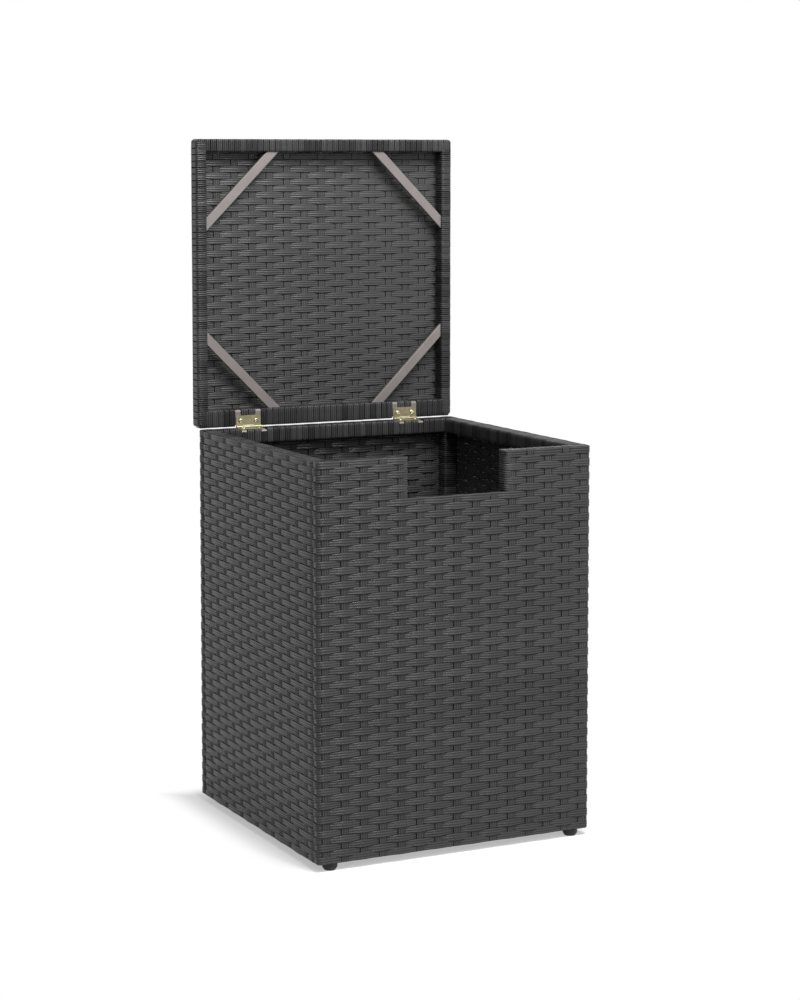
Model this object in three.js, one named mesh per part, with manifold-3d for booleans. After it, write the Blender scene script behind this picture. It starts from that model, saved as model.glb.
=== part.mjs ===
import * as THREE from 'three';
import { mergeVertices } from 'three/addons/utils/BufferGeometryUtils.js';
import Module from 'manifold-3d';

// Square woven cover for a gas tank that doubles as a side table: a steel tube frame covered in flat resin
// strands, open at the bottom, with a hose notch in the front wall and a woven lid on two butt hinges.
// Millimetres. +X runs from left to right along the front wall, +Y to the hinge side and +Z up.
// The lid stands open. The origin lies on the floor, under the middle of the space the open cover takes.

const wasm = await Module();
wasm.setup();

// Overall size
const width = 400;
const depth = 400;
const closedHeight = 550;

// Layers of a wall and fits
const weaveThickness = 3.4;
const windingThickness = 1;
const windingEdgeRadius = 2.5;
const seatGap = 0.3;
const overrun = 20;

// Frame tubes of the box
const frameTube = 18;
const tubeWall = 1;
const tubeEdgeRadius = 3;

// Notch for the gas hose, in the middle of the front wall
const notchWidth = 140;
const notchDepth = 56;

// Lid, its tubes and the four flat bars that brace its corners
const lidSideInset = 1;
const lidFrontOverhang = 4.9;
const lidCornerRadius = 8;
const lidTubeHeight = 18;
const lidSideTubeWidth = 13.5;
const lidFrontTubeWidth = 15.5;
const lidHingeTubeWidth = 21.5;
const braceWidth = 13;
const braceThickness = 5;
const braceEdgeRadius = 1;
const braceReach = 94;
const braceRecess = 3.5;

// Butt hinges
const hingeInset = 77;
const hingeLength = 37;
const leafReach = 16;
const leafThickness = 1;
const leafCornerRadius = 1.5;
const foldedGap = 2.4;
const centreKnuckle = 17;
const knuckleGap = 0.4;
const pinRadius = 1.2;
const pinClearance = 0.15;
const pinHeadRadius = 1.8;
const pinHeadHeight = 0.5;
const pinInset = 1.7;
const bareStripWidth = 7.7;
const bareStripDrop = 4;

// Screws of the hinges
const screwSpacing = 23;
const screwReach = 8.5;
const screwHeadRadius = 3.1;
const screwDomeHeight = 0.7;
const screwShankRadius = 1.5;
const screwLength = 9;
const screwPointLength = 3;

// Feet
const footHeight = 10;
const footRadius = 10;
const footTipRadius = 7.5;
const footTaperHeight = 4;
const footInset = 23;
const footStemRadius = 3.6;
const footStemLength = 9;
const footBarbRadius = 4.6;
const footBarbHeight = 3;

// Facets
const arcSteps = 3;
const roundSteps = 20;

// Derived layout of the box
const lidThickness = windingThickness + seatGap + lidTubeHeight + seatGap + weaveThickness;
const boxBottom = footHeight;
const rimTop = closedHeight - lidThickness - foldedGap;
const halfWidth = width / 2;
const halfDepth = depth / 2;
const tubeOuter = weaveThickness + seatGap;
const cornerRadius = tubeOuter + tubeEdgeRadius;
const tubeInner = tubeOuter + frameTube;
const windingCover = seatGap + windingThickness;
const wallThickness = tubeInner + windingCover;
const railHeight = frameTube + windingCover + windingCover;
const railTop = rimTop - windingCover;
const railMiddle = railTop - frameTube / 2;
const bottomRailBottom = boxBottom + windingCover;
const bottomRailMiddle = bottomRailBottom + frameTube / 2;
const bottomRailTop = bottomRailBottom + frameTube;
const postX = halfWidth - tubeOuter - frameTube / 2;
const postY = halfDepth - tubeOuter - frameTube / 2;
const postBottom = bottomRailTop + seatGap;
const halfNotch = notchWidth / 2;
const notchBottom = rimTop - notchDepth;
const uprightX = halfNotch + windingCover + frameTube / 2;
const footX = halfWidth - footInset;
const hingeX = halfWidth - hingeInset;

// Derived layout of the lid. Its own frame has the hinge pin as X axis and shows it closed, reaching to -Y.
const pinHeight = foldedGap / 2;
const barrelRadius = pinHeight + leafThickness;
const pinY = halfDepth - pinInset;
const pinZ = rimTop + pinHeight;
const halfLid = halfWidth - lidSideInset;
const lidWidth = halfLid + halfLid;
const lidNear = -pinHeight;
const lidFar = -pinY - halfDepth - lidFrontOverhang;
const lidLength = lidNear - lidFar;
const lidUnder = pinHeight;
const lidTubeUnder = lidUnder + windingCover;
const lidTubeTop = lidTubeUnder + lidTubeHeight;
const lidPanelUnder = lidTubeTop + seatGap;
const lidTop = lidUnder + lidThickness;
const lidInnerX = halfLid - windingCover - lidSideTubeWidth;
const lidInnerNear = lidNear - windingCover - lidHingeTubeWidth;
const lidInnerFar = lidFar + windingCover + lidFrontTubeWidth;
const lidBack = pinY + lidTop;
const middleY = (lidBack - halfDepth) / 2;

const resin = new THREE.MeshStandardMaterial({ color: 0x39393a, roughness: 0.5, metalness: 0 });
const greySteel = new THREE.MeshStandardMaterial({ color: 0xa7a39e, roughness: 0.55, metalness: 0.2 });
const brassPlate = new THREE.MeshStandardMaterial({ color: 0xb9ab7a, roughness: 0.35, metalness: 0.9 });
const blackPlastic = new THREE.MeshStandardMaterial({ color: 0x18181a, roughness: 0.45, metalness: 0 });

const ascending = (a, b) => a - b;

// Closed three.js geometry to a solid that can be joined and cut
function solid(geometry) {
  geometry.deleteAttribute('normal');
  geometry.deleteAttribute('uv');
  const merged = mergeVertices(geometry);
  const vertProperties = new Float32Array(merged.attributes.position.array);
  const triVerts = new Uint32Array(merged.index.array);
  return new wasm.Manifold(new wasm.Mesh({ numProp: 3, vertProperties, triVerts }));
}

function piece(name, body, material) {
  const cut = body.getMesh();
  const geometry = new THREE.BufferGeometry();
  geometry.setAttribute('position', new THREE.BufferAttribute(cut.vertProperties, 3));
  geometry.setIndex(new THREE.BufferAttribute(cut.triVerts, 1));
  geometry.computeVertexNormals();
  const mesh = new THREE.Mesh(geometry, material);
  mesh.name = name;
  return mesh;
}

function cutAll(body, cuts) {
  return cuts.reduce((rest, cut) => rest.subtract(cut), body);
}

function joinAll(parts) {
  return parts.reduce((sum, part) => sum.add(part));
}

// Block between two corners
function block(low, high) {
  const size = high.map((value, axis) => value - low[axis]);
  const centre = high.map((value, axis) => (value + low[axis]) / 2);
  return solid(new THREE.BoxGeometry(...size).translate(...centre));
}

// Outline of a rectangle with round corners, centred on its own middle
function roundedOutline(outline, sizeX, sizeY, radius) {
  const x = sizeX / 2 - radius;
  const y = sizeY / 2 - radius;
  const quarter = Math.PI / 2;
  outline.absarc(x, y, radius, 0, quarter, false);
  outline.absarc(-x, y, radius, quarter, Math.PI, false);
  outline.absarc(-x, -y, radius, Math.PI, Math.PI + quarter, false);
  outline.absarc(x, -y, radius, Math.PI + quarter, Math.PI + Math.PI, false);
  outline.closePath();
  return outline;
}

// Straight piece of one section, centred on the origin, with its length along Z
function bar(section, length) {
  const options = { depth: length, bevelEnabled: false, curveSegments: arcSteps };
  return new THREE.ExtrudeGeometry(section, options).translate(0, 0, -length / 2);
}

// Turns a bar that runs along Z so that it runs along X or Y; its section's Y stays on Y, or its X on X
const turns = {
  x: (geometry) => geometry.rotateY(Math.PI / 2),
  y: (geometry) => geometry.rotateX(-Math.PI / 2),
  z: (geometry) => geometry,
};

// Bar with a rounded rectangular section that fills the block between two corners, running along one axis
function roundedBar(axis, low, high, radius) {
  const size = high.map((value, index) => value - low[index]);
  const centre = high.map((value, index) => (value + low[index]) / 2);
  const spans = { x: [2, 1, 0], y: [0, 2, 1], z: [0, 1, 2] }[axis];
  const [across, up, along] = spans.map((index) => size[index]);
  const section = roundedOutline(new THREE.Shape(), across, up, radius);
  return solid(turns[axis](bar(section, along)).translate(...centre));
}

// Hollow tube that fills the block between two corners and is open at both ends
function tubeBody(axis, low, high) {
  const shell = roundedBar(axis, low, high, tubeEdgeRadius);
  const index = 'xyz'.indexOf(axis);
  const boreEnd = (side) => (value, own) => value + side * (own === index ? overrun : -tubeWall);
  return shell.subtract(block(low.map(boreEnd(-1)), high.map(boreEnd(1))));
}

function tube(name, axis, low, high) {
  return piece(name, tubeBody(axis, low, high), greySteel);
}

// Round rod or hole along X, centred on the origin
function rodX(radius, length) {
  return solid(new THREE.CylinderGeometry(radius, radius, length, roundSteps).rotateZ(Math.PI / 2));
}

// Round rod or hole along Z between two heights
function rodZ(radius, x, y, bottom, top) {
  const rod = new THREE.CylinderGeometry(radius, radius, top - bottom, roundSteps);
  return solid(rod.rotateX(Math.PI / 2).translate(x, y, (top + bottom) / 2));
}

// Revolved piece about Z, from a profile of radius and height pairs that starts and ends on the axis
function turned(profile) {
  const points = profile.map(([radius, height]) => new THREE.Vector2(radius, height));
  return solid(new THREE.LatheGeometry(points, roundSteps).rotateX(Math.PI / 2));
}

// Everything inside the box's rounded outline, drawn in by an inset all round
function boxOutline(inset, bottom, top) {
  const sizeX = width - inset - inset;
  const sizeY = depth - inset - inset;
  const outline = roundedOutline(new THREE.Shape(), sizeX, sizeY, cornerRadius - inset);
  return solid(bar(outline, top - bottom).translate(0, 0, (top + bottom) / 2));
}

// Posts: square tubes in the four corners, standing on the front and back bottom rails
function posts() {
  return [-1, 1].flatMap((sideY) => [-1, 1].map((sideX) => {
    const name = `${sideY < 0 ? 'front' : 'rear'}_${sideX < 0 ? 'left' : 'right'}_post`;
    const x = sideX * postX;
    const y = sideY * postY;
    const half = frameTube / 2;
    return tube(name, 'z', [x - half, y - half, postBottom], [x + half, y + half, railTop]);
  }));
}

// Rails along X share one function: ends, middle of the section and optional cuts
function railAlongX(name, fromX, toX, y, z, cuts = []) {
  const half = frameTube / 2;
  const body = tubeBody('x', [fromX, y - half, z - half], [toX, y + half, z + half]);
  return piece(name, cutAll(body, cuts), greySteel);
}

function railAlongY(name, fromY, toY, x, z) {
  const half = frameTube / 2;
  return tube(name, 'y', [x - half, fromY, z - half], [x + half, toY, z + half]);
}

// Screw holes of one rail: one round hole under each hinge screw
function railScrewHoles(y, bottom, top) {
  return [-1, 1].flatMap((side) => [-1, 1].map((end) => {
    const x = side * hingeX + end * screwSpacing / 2;
    return rodZ(screwShankRadius + seatGap, x, y, bottom, top);
  }));
}

// Holes for the stems of the two feet of one bottom rail
function stemHoles(y) {
  const bottom = bottomRailBottom - overrun;
  return [-1, 1].map((side) => rodZ(footStemRadius + seatGap, side * footX, y, bottom, bottomRailMiddle));
}

// Top ring: three whole rails, and two short ones in front that end at the notch
function topRails() {
  const postInnerX = postX - frameTube / 2 - seatGap;
  const postInnerY = postY - frameTube / 2 - seatGap;
  const uprightOuterX = uprightX + frameTube / 2 + seatGap;
  const holes = railScrewHoles(pinY - screwReach, railMiddle, rimTop);
  return [
    railAlongX('rear_top_rail', -postInnerX, postInnerX, postY, railMiddle, holes),
    railAlongY('left_top_rail', -postInnerY, postInnerY, -postX, railMiddle),
    railAlongY('right_top_rail', -postInnerY, postInnerY, postX, railMiddle),
    railAlongX('front_left_top_rail', -postInnerX, -uprightOuterX, -postY, railMiddle),
    railAlongX('front_right_top_rail', uprightOuterX, postInnerX, -postY, railMiddle),
  ];
}

// Notch frame: two short uprights on a cross rail that hangs from the front top rails
function notchFrame() {
  const half = frameTube / 2;
  const crossTop = notchBottom - windingCover;
  const uprights = [-1, 1].map((side) => {
    const x = side * uprightX;
    const name = `notch_${side < 0 ? 'left' : 'right'}_upright`;
    const low = [x - half, -postY - half, crossTop + seatGap];
    return tube(name, 'z', low, [x + half, -postY + half, railTop]);
  });
  const end = uprightX + half;
  return [...uprights, railAlongX('notch_cross_rail', -end, end, -postY, crossTop - half)];
}

// Bottom ring: front and back rails run the whole width with round ends, and the side rails fit between
function bottomRails() {
  const end = halfWidth - tubeOuter;
  const innerY = postY - frameTube / 2 - seatGap;
  const half = frameTube / 2;
  const outline = boxOutline(tubeOuter, boxBottom, bottomRailTop);
  const footed = (name, y) => {
    const body = tubeBody('x', [-end, y - half, bottomRailBottom], [end, y + half, bottomRailTop]);
    return piece(name, cutAll(body.intersect(outline), stemHoles(y)), greySteel);
  };
  return [
    footed('front_bottom_rail', -postY),
    footed('rear_bottom_rail', postY),
    railAlongY('left_bottom_rail', -innerY, innerY, -postX, bottomRailMiddle),
    railAlongY('right_bottom_rail', -innerY, innerY, postX, bottomRailMiddle),
  ];
}

// Woven walls: one skin of even thickness round the box, parted beside the corners so that the front and
// back walls keep the round corners. Their top edges stop under the winding of the rim.
function wovenWalls() {
  const top = railTop;
  const inside = boxOutline(weaveThickness, boxBottom - overrun, top + overrun);
  const whole = boxOutline(0, boxBottom, top).subtract(inside);
  const reachX = halfWidth + overrun;
  const reachY = halfDepth + overrun;
  const corner = halfDepth - cornerRadius;
  const share = (x0, y0, x1, y1) => {
    const zone = block([x0, y0, boxBottom - overrun], [x1, y1, top + overrun]);
    return whole.intersect(zone);
  };
  const notchEdge = halfNotch + windingCover;
  const notch = block(
    [-notchEdge, -reachY, notchBottom - windingCover],
    [notchEdge, 0, top + overrun],
  );
  const sideEnd = corner - seatGap;
  return [
    piece('front_woven_wall', share(-reachX, -reachY, reachX, -corner).subtract(notch), resin),
    piece('rear_woven_wall', share(-reachX, corner, reachX, reachY), resin),
    piece('left_woven_wall', share(-reachX, -sideEnd, 0, sideEnd), resin),
    piece('right_woven_wall', share(0, -sideEnd, reachX, sideEnd), resin),
  ];
}

// Upper edge of the front wall from right to left, down and up round the notch, drawn in by an inset
function rimEdge(inset, reach) {
  const top = rimTop - inset;
  const x = halfNotch + inset;
  const low = notchBottom - inset;
  return [[reach, top], [x, top], [x, low], [-x, low], [-x, top], [-reach, top]];
}

// Band as high as a wound rail under that edge, drawn in by the same inset all round
function rimBand(inset, reach) {
  const low = rimTop - railHeight + inset;
  const crossLow = notchBottom - railHeight + inset;
  const x = halfNotch + railHeight - inset;
  const underside = [[-reach, low], [-x, low], [-x, crossLow], [x, crossLow], [x, low], [reach, low]];
  return [...underside, ...rimEdge(inset, reach)];
}

// Slab of the front wall between two depths, from an outline in X and Z, its edges rounded by a radius
function frontSlab(points, front, back, radius = 0) {
  const options = {
    depth: back - front - radius - radius,
    bevelEnabled: radius > 0,
    bevelThickness: radius,
    bevelSize: radius,
    bevelOffset: -radius,
    bevelSegments: arcSteps,
  };
  const shape = new THREE.Shape(points.map(([x, z]) => new THREE.Vector2(x, z)));
  const slab = new THREE.ExtrudeGeometry(shape, options).rotateX(Math.PI / 2);
  return solid(slab.translate(0, back - radius, 0));
}

// Windings of the rim: strands wound round the top rails. Each covers the top, the inner face and the
// underside of its tube and turns over the edge of the woven wall.
function rimWindings() {
  const low = windingThickness;
  const edge = windingEdgeRadius;
  const bottom = rimTop - railHeight;
  const innerX = halfWidth - wallThickness;
  const innerY = halfDepth - wallThickness;
  const reachX = halfWidth + overrun;
  const reachY = halfDepth + overrun;
  const outline = boxOutline(0, bottom - notchDepth, rimTop + overrun);
  const postRoom = (y0, y1) => [-1, 1].map((side) => {
    const [x0, x1] = [side * innerX, side * reachX].sort(ascending);
    return block([x0, y0, bottom - overrun], [x1, y1, rimTop - low]);
  });

  // Front: the winding follows the rim, goes down and up round the notch and leaves room for tubes and wall
  const wallEdge = [[-reachX, boxBottom], [reachX, boxBottom], ...rimEdge(low, reachX)];
  const band = frontSlab(rimBand(0, reachX), -halfDepth, -innerY, edge).intersect(outline);
  const front = cutAll(band, [
    frontSlab(rimBand(low, reachX + overrun), -halfDepth + weaveThickness, -innerY - low),
    frontSlab(wallEdge, -reachY, -halfDepth + tubeOuter),
    ...postRoom(-reachY, -innerY + overrun),
  ]);

  // Back: one straight winding, with the strands left out where the hinges are screwed to the bare tube
  const rearBar = roundedBar('x', [-halfWidth, innerY, bottom], [halfWidth, halfDepth, rimTop], edge);
  const rearRoom = [
    block([-reachX, innerY + low, bottom + low], [reachX, halfDepth - weaveThickness, rimTop - low]),
    block([-reachX, halfDepth - tubeOuter, bottom - overrun], [reachX, reachY, rimTop - low]),
    ...postRoom(innerY - overrun, reachY),
  ];
  const rear = cutAll(rearBar.intersect(outline), [...rearRoom, ...rimHingeRoom()]);

  // Sides: straight windings that end at the front and back ones
  const endY = innerY - seatGap;
  const sides = [-1, 1].map((side) => {
    const span = (near, far) => (side < 0 ? [-far, -near] : [near, far]);
    const [x0, x1] = span(innerX, halfWidth);
    const [core0, core1] = span(innerX + low, halfWidth - weaveThickness);
    const [wall0, wall1] = span(halfWidth - tubeOuter, reachX);
    const reach = endY + overrun;
    const body = cutAll(roundedBar('y', [x0, -endY, bottom], [x1, endY, rimTop], edge), [
      block([core0, -reach, bottom + low], [core1, reach, rimTop - low]),
      block([wall0, -reach, bottom - overrun], [wall1, reach, rimTop - low]),
    ]);
    return piece(`${side < 0 ? 'left' : 'right'}_rim_winding`, body, resin);
  });
  return [piece('front_rim_winding', front, resin), piece('rear_rim_winding', rear, resin), ...sides];
}

// Room in the back winding of the rim for the leaves, the knuckles and the bare strips beside the leaves
function rimHingeRoom() {
  const innerY = halfDepth - wallThickness;
  return [-1, 1].flatMap((side) => {
    const x = side * hingeX;
    const half = hingeLength / 2 + pinHeadHeight + seatGap + seatGap;
    const leafEdge = pinY - leafReach - seatGap;
    const leaf = block([x - half, leafEdge, railTop], [x + half, halfDepth + overrun, rimTop + overrun]);
    const strips = [-1, 1].map((end) => {
      const outer = x + end * hingeLength / 2;
      const inner = outer - end * bareStripWidth;
      const [x0, x1] = [inner, outer].sort(ascending);
      const low = [x0, innerY - overrun, rimTop - bareStripDrop];
      return block(low, [x1, leafEdge + leafReach, rimTop + overrun]);
    });
    return [leaf, ...strips];
  });
}

// Windings of the posts: strands round the two inner faces, between the rails
function postWindings() {
  const bottom = bottomRailTop + windingCover + seatGap;
  const top = rimTop - railHeight - seatGap;
  const inner = [halfWidth - wallThickness, halfDepth - wallThickness];
  return [-1, 1].flatMap((sideY) => [-1, 1].map((sideX) => {
    const name = `${sideY < 0 ? 'front' : 'rear'}_${sideX < 0 ? 'left' : 'right'}_post_winding`;
    const corner = ([nearX, farX], [nearY, farY]) => {
      const [x0, x1] = [sideX * nearX, sideX * farX].sort(ascending);
      const [y0, y1] = [sideY * nearY, sideY * farY].sort(ascending);
      return [[x0, y0], [x1, y1]];
    };
    const reachX = halfWidth - weaveThickness - seatGap;
    const reachY = halfDepth - weaveThickness - seatGap;
    const edge = windingEdgeRadius;
    const [low, high] = corner([inner[0], reachX + edge], [inner[1], reachY + edge]);
    const shell = roundedBar('z', [...low, bottom], [...high, top], edge);
    const [lowCore, highCore] = corner(
      [inner[0] + windingThickness, halfWidth],
      [inner[1] + windingThickness, halfDepth],
    );
    const core = block([...lowCore, bottom - overrun], [...highCore, top + overrun]);
    const [lowKeep, highKeep] = corner([0, reachX], [0, reachY]);
    const keep = block([...lowKeep, bottom - overrun], [...highKeep, top + overrun]);
    return piece(name, shell.subtract(core).intersect(keep), resin);
  }));
}

// Feet: black glides with a stem that pushes into the bottom rail and a barb that keeps it there
function feet() {
  const pad = bottomRailBottom;
  const barb = pad + tubeWall + seatGap;
  const profile = [
    [0, 0],
    [footTipRadius, 0],
    [footRadius, footTaperHeight],
    [footRadius, footHeight],
    [footStemRadius, footHeight],
    [footStemRadius, barb],
    [footBarbRadius, barb],
    [footStemRadius, barb + footBarbHeight],
    [footStemRadius, pad + footStemLength],
    [0, pad + footStemLength],
  ];
  return [-1, 1].flatMap((sideY) => [-1, 1].map((sideX) => {
    const name = `${sideY < 0 ? 'front' : 'rear'}_${sideX < 0 ? 'left' : 'right'}_foot`;
    const foot = piece(name, turned(profile), blackPlastic);
    foot.position.set(sideX * footX, sideY * postY, 0);
    return foot;
  }));
}

// Butt hinge, about its pin along X with the leaf reaching to -Y and lying under the pin.
// The leaf on the rim carries the middle knuckle, and the leaf on the lid the two outer ones.
function hingeLeaf(name, carriesMiddle) {
  const outline = roundedOutline(new THREE.Shape(), hingeLength, leafReach + leafReach, leafCornerRadius);
  const plate = solid(bar(outline, leafThickness).translate(0, 0, leafThickness / 2 - barrelRadius));
  const halfPlate = plate.subtract(block(
    [-hingeLength, 0, -barrelRadius - overrun],
    [hingeLength, leafReach + overrun, overrun],
  ));
  const barrel = rodX(barrelRadius, hingeLength);
  const clearance = barrelRadius + seatGap;
  const split = centreKnuckle / 2;
  const own = knuckleGap / 2;
  const room = (from, to) => block([from, -clearance, -overrun], [to, overrun, overrun]);
  const others = carriesMiddle
    ? [room(-hingeLength, own - split), room(split - own, hingeLength)]
    : [room(-split - own, split + own)];
  const bore = rodX(pinRadius + pinClearance, hingeLength + overrun);
  const blank = cutAll(halfPlate.add(barrel), [...others, bore]);
  const seats = [-1, 1].map((end) => turned(screwSeatProfile()).translate([
    end * screwSpacing / 2,
    -screwReach,
    -pinHeight,
  ]));
  return piece(name, cutAll(blank, seats), brassPlate);
}

// Countersunk seat, with room for the shank below and open above. Heights are from the leaf's outer face.
function screwSeatProfile() {
  return [
    [0, -leafThickness - overrun],
    [screwShankRadius + seatGap, -leafThickness - overrun],
    [screwShankRadius + seatGap, -leafThickness],
    [screwHeadRadius + seatGap, 0],
    [screwHeadRadius + seatGap, overrun],
    [0, overrun],
  ];
}

// Countersunk screw with a low domed head, its point down
function hingeScrew(name) {
  const dome = Array.from({ length: arcSteps }, (_, step) => {
    const angle = (step / arcSteps) * Math.PI / 2;
    return [screwHeadRadius * Math.cos(angle), screwDomeHeight * Math.sin(angle)];
  });
  const profile = [
    [0, -screwLength],
    [screwShankRadius, screwPointLength - screwLength],
    [screwShankRadius, -leafThickness],
    ...dome,
    [0, screwDomeHeight],
  ];
  return piece(name, turned(profile), brassPlate);
}

// One half of a hinge: leaf and two screws. Turned over about Y it is the half on the lid.
function hingeHalf(side, part) {
  const half = new THREE.Group();
  half.add(hingeLeaf(`${side}_hinge_${part}_leaf`, part === 'rim'));
  [-1, 1].forEach((end) => {
    const screw = hingeScrew(`${side}_hinge_${part}_screw_${end < 0 ? 'a' : 'b'}`);
    screw.position.set(end * screwSpacing / 2, -screwReach, -pinHeight);
    half.add(screw);
  });
  return half;
}

function hingePin(name) {
  const end = hingeLength / 2 + seatGap;
  const profile = [
    [0, -end - pinHeadHeight],
    [pinRadius, -end - pinHeadHeight],
    [pinHeadRadius, -end],
    [pinRadius, -end],
    [pinRadius, end],
    [pinHeadRadius, end],
    [pinRadius, end + pinHeadHeight],
    [0, end + pinHeadHeight],
  ];
  const pin = piece(name, turned(profile), brassPlate);
  pin.rotation.y = Math.PI / 2;
  return pin;
}

// Lid tubes: front and hinge side run the whole width with round ends, and the side tubes fit between them
function lidTubes() {
  const holes = railScrewHoles(-screwReach, lidUnder, (lidTubeUnder + lidTubeTop) / 2);
  const outline = lidOutline(windingCover, lidTubeUnder, lidTubeTop);
  const endX = halfLid - windingCover;
  const hingeLow = [-endX, lidInnerNear, lidTubeUnder];
  const hingeTube = tubeBody('x', hingeLow, [endX, lidNear - windingCover, lidTubeTop]).intersect(outline);
  const frontLow = [-endX, lidFar + windingCover, lidTubeUnder];
  const frontTube = tubeBody('x', frontLow, [endX, lidInnerFar, lidTubeTop]).intersect(outline);
  const sides = [-1, 1].map((side) => {
    const [x0, x1] = [side * endX, side * lidInnerX].sort(ascending);
    const name = `lid_${side < 0 ? 'left' : 'right'}_tube`;
    const low = [x0, lidInnerFar + seatGap, lidTubeUnder];
    return tube(name, 'y', low, [x1, lidInnerNear - seatGap, lidTubeTop]);
  });
  return [
    piece('lid_hinge_tube', cutAll(hingeTube, holes), greySteel),
    piece('lid_front_tube', frontTube, greySteel),
    ...sides,
  ];
}

// Braces: flat bars at 45 degrees across the corners, cut to the tubes that they are welded to
function braceBody(sideX, atHinge, gap) {
  const section = roundedOutline(
    new THREE.Shape(),
    braceWidth + gap + gap,
    braceThickness + gap + gap,
    braceEdgeRadius,
  );
  const cornerY = atHinge ? lidInnerNear : lidInnerFar;
  const inward = atHinge ? -1 : 1;
  const middle = braceReach / 2 + braceWidth / Math.SQRT2 / 2;
  const level = lidUnder + braceRecess + braceThickness / 2;
  const length = (middle + middle) * Math.SQRT2 + braceWidth;
  const body = bar(section, length).rotateX(-Math.PI / 2).rotateZ(-sideX * inward * Math.PI / 4);
  return solid(body.translate(sideX * (lidInnerX - middle), cornerY + inward * middle, level));
}

const braceCorners = [
  { name: 'lid_brace_front_left', sideX: -1, atHinge: false },
  { name: 'lid_brace_front_right', sideX: 1, atHinge: false },
  { name: 'lid_brace_rear_left', sideX: -1, atHinge: true },
  { name: 'lid_brace_rear_right', sideX: 1, atHinge: true },
];

function lidBraces() {
  const x = lidInnerX - seatGap;
  const window = block([-x, lidInnerFar + seatGap, 0], [x, lidInnerNear - seatGap, lidTop]);
  return braceCorners.map(({ name, sideX, atHinge }) => (
    piece(name, braceBody(sideX, atHinge, 0).intersect(window), greySteel)
  ));
}

// Everything inside the lid's rounded outline, drawn in by an inset all round
function lidOutline(inset, bottom, top) {
  const sizeX = lidWidth - inset - inset;
  const sizeY = lidLength - inset - inset;
  const outline = roundedOutline(new THREE.Shape(), sizeX, sizeY, lidCornerRadius - inset);
  const middle = (lidNear + lidFar) / 2;
  return solid(bar(outline, top - bottom).translate(0, middle, (top + bottom) / 2));
}

// Windings of the lid: strands round the outer side, the underside and the inner side of each tube,
// with gaps where the hinges are screwed on and where the braces reach their tubes
function lidWindings() {
  const edge = windingEdgeRadius;
  const low = windingThickness;
  const innerX = lidInnerX - windingCover;
  const innerNear = lidInnerNear - windingCover;
  const innerFar = lidInnerFar + windingCover;
  const slots = braceCorners.map(({ sideX, atHinge }) => braceBody(sideX, atHinge, seatGap));
  const open = block([-lidWidth, lidFar - overrun, lidTubeTop], [lidWidth, overrun, lidTop + overrun]);
  const sideTubeRoom = [-1, 1].map((side) => {
    const [x0, x1] = [side * (lidInnerX - seatGap), side * lidWidth].sort(ascending);
    return block([x0, lidInnerFar, lidUnder], [x1, lidInnerNear, lidTop]);
  });
  const across = (near, far) => {
    const shell = roundedBar('x', [-halfLid, near, lidUnder], [halfLid, far, lidTubeTop + edge], edge);
    const span = block([-lidWidth, near + low, lidUnder], [lidWidth, far - low, lidTop]);
    const room = joinAll([span, ...sideTubeRoom]).intersect(lidOutline(low, lidUnder + low, lidTop));
    return cutAll(shell.intersect(lidOutline(0, lidUnder, lidTop)), [room, open, ...slots]);
  };
  const [y0, y1] = [innerFar + seatGap, innerNear - seatGap];
  const sides = [-1, 1].map((side) => {
    const [x0, x1] = [side * innerX, side * halfLid].sort(ascending);
    const shell = roundedBar('y', [x0, y0, lidUnder], [x1, y1, lidTubeTop + edge], edge);
    const core = block([x0 + low, y0 - overrun, lidUnder + low], [x1 - low, y1 + overrun, lidTop + overrun]);
    return piece(`lid_${side < 0 ? 'left' : 'right'}_winding`, cutAll(shell, [core, open, ...slots]), resin);
  });
  return [
    piece('lid_front_winding', across(lidFar, innerFar), resin),
    piece('lid_hinge_winding', cutAll(across(innerNear, lidNear), lidHingeRoom()), resin),
    ...sides,
  ];
}

// Room in the lid's hinge winding for the leaves, the knuckles and the bare strips beside the leaves
function lidHingeRoom() {
  const innerNear = lidInnerNear - windingCover;
  return [-1, 1].flatMap((side) => {
    const x = side * hingeX;
    const half = hingeLength / 2 + pinHeadHeight + seatGap + seatGap;
    const leafEdge = -leafReach - seatGap;
    const leaf = block([x - half, leafEdge, -overrun], [x + half, overrun, lidTubeUnder]);
    const strips = [-1, 1].map((end) => {
      const outer = x + end * hingeLength / 2;
      const [x0, x1] = [outer, outer - end * bareStripWidth].sort(ascending);
      const low = [x0, innerNear - overrun, -overrun];
      return block(low, [x1, leafEdge + leafReach, lidUnder + bareStripDrop]);
    });
    return [leaf, ...strips];
  });
}

// Woven panel: the lid's table top, of even thickness, on top of the tubes
function lidPanel() {
  return piece('lid_woven_panel', lidOutline(0, lidPanelUnder, lidTop), resin);
}

function base() {
  const group = new THREE.Group();
  const steel = [...posts(), ...topRails(), ...notchFrame(), ...bottomRails()];
  const covering = [...wovenWalls(), ...rimWindings(), ...postWindings()];
  group.add(...steel, ...covering, ...feet());
  [-1, 1].forEach((sideX) => {
    const side = sideX < 0 ? 'left' : 'right';
    const hinge = hingeHalf(side, 'rim');
    hinge.add(hingePin(`${side}_hinge_pin`));
    hinge.position.set(sideX * hingeX, pinY, pinZ);
    group.add(hinge);
  });
  return group;
}

// The lid is built closed and stands open, a quarter turn back about its pin
function lid() {
  const group = new THREE.Group();
  group.add(...lidTubes(), ...lidBraces(), ...lidWindings(), lidPanel());
  [-1, 1].forEach((sideX) => {
    const hinge = hingeHalf(sideX < 0 ? 'left' : 'right', 'lid');
    hinge.rotation.y = Math.PI;
    hinge.position.x = sideX * hingeX;
    group.add(hinge);
  });
  group.position.set(0, pinY, pinZ);
  group.rotation.x = -Math.PI / 2;
  return group;
}

const cover = new THREE.Group();
cover.add(base(), lid());
cover.position.y = -middleY;

export default cover;
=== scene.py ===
import math
import random

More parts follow.
